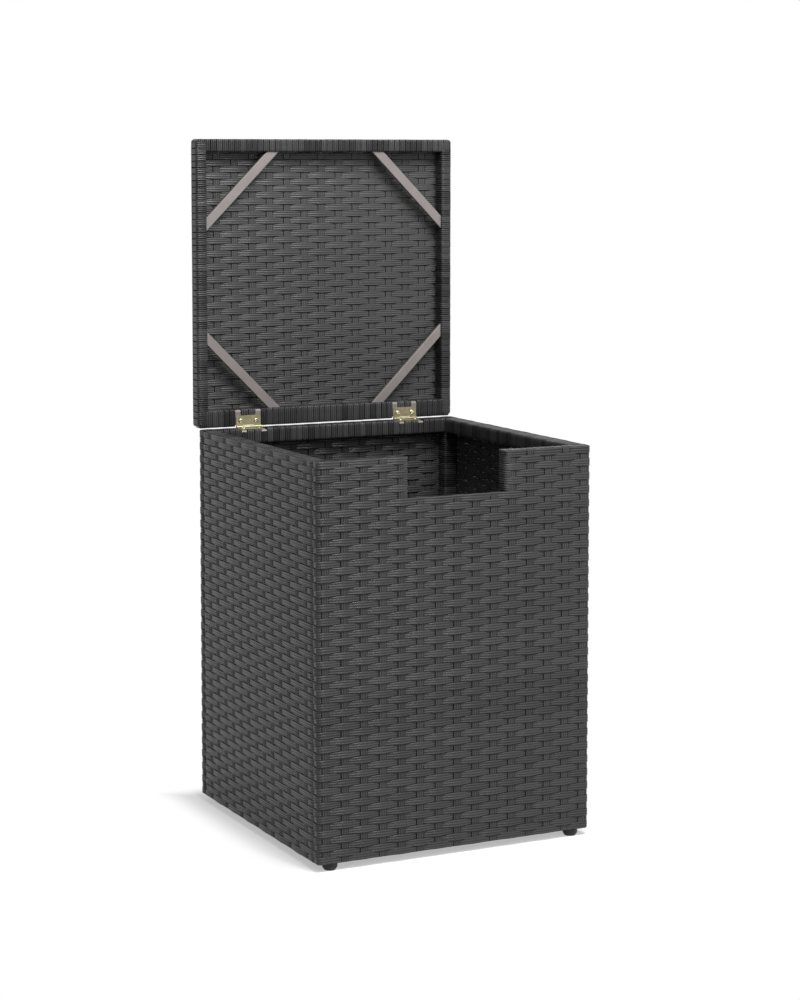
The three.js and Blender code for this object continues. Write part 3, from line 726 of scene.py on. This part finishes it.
def lid_tube_strands(along_x, edge, sign, spans):
    """Strands of one lid tube. edge is the lid's outer edge there, sign the way to its middle."""
    strands = []
    for start, end, loop in spans:
        if along_x:
            strands += wind(loop, (0, under_y, edge), (0, 0, sign), (0, 1, 0),
                            (start, 0, 0), (end, 0, 0), lid_bend)
        else:
            strands += wind(loop, (edge, under_y, 0), (sign, 0, 0), (0, 1, 0),
                            (0, 0, start), (0, 0, end), lid_bend)
    return strands


def corner_fan(corner_x, corner_z, sign_x, sign_z):
    """Narrowed strands that fan out round a rounded corner of the lid, each a little deeper."""
    fan = []
    middle = np.array((corner_x - sign_x * lid_corner, under_y, corner_z - sign_z * lid_corner))
    up = np.array((0, 1, 0))
    corners = [(lid_corner - half_strand, skirt), (lid_corner - half_strand, half_strand),
               (fan_inner, half_strand)]
    route, normals, lengths = bent_route(corners, lid_bend, wound_step, wound_turn_steps)
    for share in fan_shares:
        turn = share * math.pi / 2
        out = np.array((sign_x * math.cos(turn), 0, sign_z * math.sin(turn)))
        flat = route - normals * (fan_sink + fan_stagger * share)
        points = middle + flat[:, :1] * out + flat[:, 1:] * up
        outward = normals[:, :1] * out + normals[:, 1:] * up
        fan.append((points, outward, np.cross(out, up), fan_width))
    return fan


fan_reach = lid_half - lid_corner + run_overlap
front_width = lid_high.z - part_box("lid_front_winding")[0].z
hinge_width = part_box("lid_hinge_winding")[1].z - lid_low.z
side_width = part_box("lid_left_winding")[1].x + lid_half
strands = lid_tube_strands(True, lid_high.z, -1, [(-fan_reach, fan_reach, lid_loop(front_width))])
strands += corner_fan(-lid_half, lid_high.z, -1, 1) + corner_fan(lid_half, lid_high.z, 1, 1)
wound_piece("lid_front_strands", strands, "lid", "lid_front_winding")

lid_leaf_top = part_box("left_hinge_lid_leaf")[1].z - lid_low.z
spans = plain_spans(fan_reach, lid_loop(hinge_width, bulge=rim_bulge))
spans += hinge_spans(lid_loop(hinge_width, rise=bare_drop),
                     lid_loop(hinge_width, start=lid_leaf_top + leaf_room))
strands = lid_tube_strands(True, lid_low.z, 1, spans)
strands += corner_fan(-lid_half, lid_low.z, -1, -1) + corner_fan(lid_half, lid_low.z, 1, -1)
wound_piece("lid_hinge_strands", strands, "lid", "lid_hinge_winding")

for side, name in ((-1, "left"), (1, "right")):
    strands = lid_tube_strands(False, side * lid_half, -side, [
        (lid_low.z + lid_corner - run_overlap, lid_high.z - lid_corner + run_overlap,
         lid_loop(side_width)),
    ])
    wound_piece(f"lid_{name}_strands", strands, "lid", f"lid_{name}_winding")

# Woven panel of the lid, the table top when it is closed: the walls' weave laid flat over the
# tubes, its strands painted paler than the walls' as light falling on the lid. The ends of its
# strands fold down over the lid's edges.
panel_middle = panel_y + (lid_high.y - panel_y) / 2
middle_z = (lid_low.z + lid_high.z) / 2
lid_half_height = (lid_high.z - lid_low.z) / 2
panel_edge = 2 * mm
panel_rows = int((lid_high.z - lid_low.z - panel_edge) / row_pitch)
panel_start = middle_z - (panel_rows - 1) / 2 * row_pitch
row_inset = 0.1 * mm
fold = 2.4 * mm
fold_bend = 0.8 * fold
lid_tightness = 0.75
flat_end = 4 * mm
flat_fade = 5 * mm
lid_variety = 0.5
# The lid's strands are painted paler than the walls', as light
lid_painted_light = 0.95


def panel_reach(edge_place, half_across, half_along):
    """How far a strand reaches from the panel's middle, less where the lid's corner is round.
    edge_place is where its outer edge lies across the panel."""
    deep = max(0.0, edge_place - half_across + lid_corner)
    return (half_along - lid_corner + math.sqrt(max(0.0, lid_corner ** 2 - deep ** 2))
            - half_strand)


def folded_route(reach, step):
    """Way of a strand across the panel, with both ends folded down."""
    return bent_route([(-reach, -fold), (-reach, 0), (reach, 0), (reach, -fold)], fold_bend, step)


strands = []
for row in range(panel_rows):
    height = panel_start + row * row_pitch
    edge_place = abs(height - middle_z) + strand_width / 2
    reach = panel_reach(edge_place, lid_half_height, lid_half) - row_inset
    route, normals, lengths = folded_route(reach, route_step)
    stakes = numbered(stake_lengths(route, lengths, [(x, 0) for x in stake_places]))
    from_end = np.minimum(lengths, lengths[-1] - lengths)
    keep = lid_tightness * fade((from_end - flat_end) / flat_fade)
    flat, widths = weave_in(route, normals, lengths, stakes, row, keep, (False, False))
    points, outward = flat_place(flat + np.array((0, panel_middle)), normals, height)
    strands.append((points, outward, upright, widths))
strand_piece("lid_weave", strands, weaver_section, "lid", ["lid_woven_panel"], lid_variety,
             lid_painted_light)

strands = []
for number, x in enumerate(stake_places):
    reach = panel_reach(abs(x) + stake_width / 2, lid_half, lid_half_height)
    route, normals, lengths = folded_route(reach, row_pitch / 2)
    rows = (middle_z + route[:, 0] - panel_start) / row_pitch
    inside = np.abs(route[:, 0]) < reach - fold
    offset = -stake_swing * np.cos(math.pi * rows) * (-1) ** number * inside
    flat = route + normals * offset[:, None]
    points = np.column_stack([np.full(len(flat), x), panel_middle + flat[:, 1],
                              middle_z + flat[:, 0]])
    outward = np.column_stack([np.zeros(len(flat)), normals[:, 1], normals[:, 0]])
    strands.append((points, outward, (1, 0, 0), 1.0))
strand_piece("lid_stakes", strands, stake_section, "lid", ["lid_woven_panel"], lid_variety,
             lid_painted_light)

# Hinges: butt hinges of thin steel, pressed and rolled, and the cross recess screws that hold
# them. Both are zinc plated and passivated, which leaves a pale yellow sheen that drifts towards
# green and pink.
zinc_straw = "8F886A"
zinc_green = "757A5C"
zinc_pink = "8E796A"
screw_pale = "C9C6B4"
screw_straw = "A8A37F"
tint_size = 5 * mm
plate_grain = 0.5 * mm
plate_pits = 0.05 * mm
plate_roughness = (0.28, 0.46)
screw_roughness = (0.16, 0.3)
screw_dome = 0.45 * mm
head_edge = 0.25 * mm
head_cone_share = 0.5
shank_share = 0.45
recess_reach = 1.9 * mm
recess_half = 0.42 * mm
recess_depth = 1.0 * mm
head_rings = 14
head_turns = 64

plated_steel, tree = new_finish("yellow_zinc_plated_steel")
place = node(tree, "ShaderNodeTexCoord").outputs["Object"]
drift = node(tree, "ShaderNodeTexNoise", {
    "Vector": place, "Scale": 1 / tint_size, "Detail": 3.0,
})
blush = node(tree, "ShaderNodeTexNoise", {
    "Vector": place, "Scale": 0.6 / tint_size, "Detail": 2.0, "Distortion": 1.0,
})
grain = node(tree, "ShaderNodeTexNoise", {
    "Vector": place, "Scale": 1 / plate_grain, "Detail": 3.0,
})
greener = node(tree, "ShaderNodeMapRange", {
    "Value": drift.outputs["Fac"], "From Min": 0.38, "From Max": 0.62,
})
pinker = node(tree, "ShaderNodeMapRange", {
    "Value": blush.outputs["Fac"], "From Min": 0.5, "From Max": 0.7,
})
tone = node(tree, "ShaderNodeMix", {
    "Factor": greener.outputs["Result"], "A": linear(zinc_straw), "B": linear(zinc_green),
}, data_type="RGBA")
tone = node(tree, "ShaderNodeMix", {
    "Factor": pinker.outputs["Result"], "A": tone.outputs["Result"], "B": linear(zinc_pink),
}, data_type="RGBA")
gloss = node(tree, "ShaderNodeMapRange", {
    "Value": grain.outputs["Fac"], "To Min": plate_roughness[0], "To Max": plate_roughness[1],
})
pits = node(tree, "ShaderNodeBump", {
    "Height": grain.outputs["Fac"], "Strength": 0.3, "Distance": plate_pits,
})
end_finish(tree, node(tree, "ShaderNodeBsdfPrincipled", {
    "Base Color": tone.outputs["Result"], "Roughness": gloss.outputs["Result"], "Metallic": 0.85,
    "Normal": pits.outputs["Normal"],
}))

# The screws have the same coat, paler and glossier, because they were barrel plated
plated_screw, tree = new_finish("bright_zinc_plated_screw")
place = node(tree, "ShaderNodeTexCoord").outputs["Object"]
drift = node(tree, "ShaderNodeTexNoise", {
    "Vector": place, "Scale": 2 / tint_size, "Detail": 3.0,
})
grain = node(tree, "ShaderNodeTexNoise", {
    "Vector": place, "Scale": 1 / plate_grain, "Detail": 3.0,
})
tone = node(tree, "ShaderNodeMix", {
    "Factor": drift.outputs["Fac"], "A": linear(screw_straw), "B": linear(screw_pale),
}, data_type="RGBA")
gloss = node(tree, "ShaderNodeMapRange", {
    "Value": grain.outputs["Fac"], "To Min": screw_roughness[0], "To Max": screw_roughness[1],
})
pits = node(tree, "ShaderNodeBump", {
    "Height": grain.outputs["Fac"], "Strength": 0.2, "Distance": plate_pits,
})
end_finish(tree, node(tree, "ShaderNodeBsdfPrincipled", {
    "Base Color": tone.outputs["Result"], "Roughness": gloss.outputs["Result"], "Metallic": 0.95,
    "Normal": pits.outputs["Normal"],
}))


def screw(node_name, out, body):
    """A countersunk screw with a low domed head and a cross recess. out is where it faces."""
    low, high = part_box(node_name)
    out = np.array(out, float)
    low, high = np.array(low), np.array(high)
    middle = (low + high) / 2
    head = middle * (1 - np.abs(out)) + (high if out.sum() > 0 else low) * np.abs(out)
    reach = np.abs(high - low)[np.abs(out) < 0.5].max() / 2
    length = np.abs(high - low)[np.abs(out) > 0.5].max()
    side = np.array((1.0, 0, 0))
    other = np.cross(out, side)
    turn = dice.random() * math.pi
    profile = [(reach * i / head_rings, None) for i in range(1, head_rings + 1)]
    shank = reach * shank_share
    profile += [(reach, -head_edge), (shank, -head_edge - reach * head_cone_share),
                (shank, -length)]
    points, faces = [head - out * recess_depth], []
    for radius, depth in profile:
        for k in range(head_turns):
            angle = 2 * math.pi * k / head_turns
            x, y = radius * math.cos(angle), radius * math.sin(angle)
            rise = depth
            if depth is None:
                near, far = sorted((abs(x * math.cos(turn) + y * math.sin(turn)),
                                    abs(y * math.cos(turn) - x * math.sin(turn))))
                cut = ((1 - fade((near / recess_half - 0.8) / 0.5))
                       * (1 - fade((far / recess_reach - 0.8) / 0.3)))
                rise = screw_dome * (1 - (radius / reach) ** 2) * (1 - cut) - recess_depth * cut
            points.append(head + side * x + other * y + out * rise)
    for k in range(head_turns):
        after = (k + 1) % head_turns
        faces.append((0, 1 + k, 1 + after))
        for ring in range(len(profile) - 1):
            a, b = 1 + ring * head_turns, 1 + (ring + 1) * head_turns
            faces.append((a + k, b + k, b + after, a + after))
    last = 1 + (len(profile) - 1) * head_turns
    faces.append(tuple(last + k for k in reversed(range(head_turns))))
    mesh = bpy.data.meshes.new(node_name)
    mesh.from_pydata([tuple(point) for point in points], [], faces)
    mesh.polygons.foreach_set("use_smooth", [True] * len(faces))
    mesh.materials.append(plated_screw)
    piece = bpy.data.objects.new(node_name + "_head", mesh)
    bpy.context.collection.objects.link(piece)
    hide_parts(node_name)
    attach(piece, body)


for name in ("left", "right"):
    coat([f"{name}_hinge_rim_leaf", f"{name}_hinge_lid_leaf", f"{name}_hinge_pin"], plated_steel)
    for mark in ("a", "b"):
        screw(f"{name}_hinge_rim_screw_{mark}", (0, 0, 1), "base")
        screw(f"{name}_hinge_lid_screw_{mark}", (0, -1, 0), "lid")

# Floor and light: a white paper floor, a tall narrow lamp in front that draws the sheen along the
# strands, a broad one above, a weak one at the right, and pale light all round.
floor_white = "E4E4E4"
floor_reach = 15.0
# Round the box the paper keeps less glow: painted shade, with the real shadow showing through it
painted_shade_glow = 0.42
far_glow = 1.0
glow_start = half_wall
glow_end = half_wall + 52 * mm
room_light = 0.4
room_white = 1.0


def seen_by_eye(tree):
    """1 where the eye sees a surface, straight on, reflected or through glass, and 0 for light."""
    ray = node(tree, "ShaderNodeLightPath")
    seen = node(tree, "ShaderNodeMath", {
        0: ray.outputs["Is Camera Ray"], 1: ray.outputs["Is Glossy Ray"],
    }, operation="MAXIMUM")
    return node(tree, "ShaderNodeMath", {
        0: seen.outputs[0], 1: ray.outputs["Is Transmission Ray"],
    }, operation="MAXIMUM").outputs[0]


# Paper: white to the eye, but round the box it keeps less of its own glow, so that the real shadow
# shows; the lower glow there also paints a band of grey shade round the box
studio_paper, tree = new_finish("studio_white_paper")
place = node(tree, "ShaderNodeTexCoord").outputs["Object"]
size = node(tree, "ShaderNodeVectorMath", {0: place}, operation="ABSOLUTE")
axes = node(tree, "ShaderNodeSeparateXYZ", {0: size.outputs[0]})
away = node(tree, "ShaderNodeMath", {
    0: axes.outputs["X"], 1: axes.outputs["Y"],
}, operation="MAXIMUM")
glow_with_painted_band = node(tree, "ShaderNodeMapRange", {
    "Value": away.outputs[0], "From Min": glow_start, "From Max": glow_end,
    "To Min": painted_shade_glow, "To Max": far_glow,
}, interpolation_type="SMOOTHSTEP")
lift = node(tree, "ShaderNodeMath", {
    0: seen_by_eye(tree), 1: glow_with_painted_band.outputs["Result"],
}, operation="MULTIPLY")
paper = node(tree, "ShaderNodeBsdfDiffuse", {"Color": linear(floor_white)})
glow = node(tree, "ShaderNodeEmission", {"Color": (1, 1, 1, 1), "Strength": 1.0})
end_finish(tree, node(tree, "ShaderNodeMixShader", {
    "Fac": lift.outputs[0], 1: paper.outputs[0], 2: glow.outputs[0],
}))
mesh = bpy.data.meshes.new("floor")
mesh.from_pydata([(x * floor_reach, y * floor_reach, 0)
                  for x, y in ((-1, -1), (1, -1), (1, 1), (-1, 1))], [], [(0, 1, 2, 3)])
mesh.materials.append(studio_paper)
floor = bpy.data.objects.new("floor", mesh)
bpy.context.collection.objects.link(floor)

world = bpy.data.worlds.new("studio")
bpy.context.scene.world = world
world.use_nodes = True
tree = world.node_tree
tree.nodes.clear()
strength = node(tree, "ShaderNodeMapRange", {
    "Value": seen_by_eye(tree), "To Min": room_light, "To Max": room_white,
})
room = node(tree, "ShaderNodeBackground", {
    "Color": (1, 1, 1, 1), "Strength": strength.outputs["Result"],
})
tree.links.new(room.outputs[0], node(tree, "ShaderNodeOutputWorld").inputs["Surface"])


def soft_lamp(name, place, target, width, height, power):
    """An oblong soft lamp that looks at a point."""
    lamp = bpy.data.objects.new(name, bpy.data.lights.new(name, "AREA"))
    bpy.context.collection.objects.link(lamp)
    lamp.data.shape = "RECTANGLE"
    lamp.data.size = width
    lamp.data.size_y = height
    lamp.data.energy = power
    lamp.location = place
    lamp.rotation_euler = (Vector(target) - Vector(place)).to_track_quat("-Z", "Y").to_euler()


soft_lamp("front_lamp", (0.65, -3.1, 2.0), (0, 0, 0.5), width=0.36, height=2.3, power=43)
soft_lamp("high_lamp", (0.1, -0.9, 2.1), (0, 0.1, 0.5), width=1.0, height=0.8, power=66)
soft_lamp("fill_lamp", (1.5, -3.0, 0.8), (0, 0.2, 0.7), width=1.2, height=1.0, power=4)
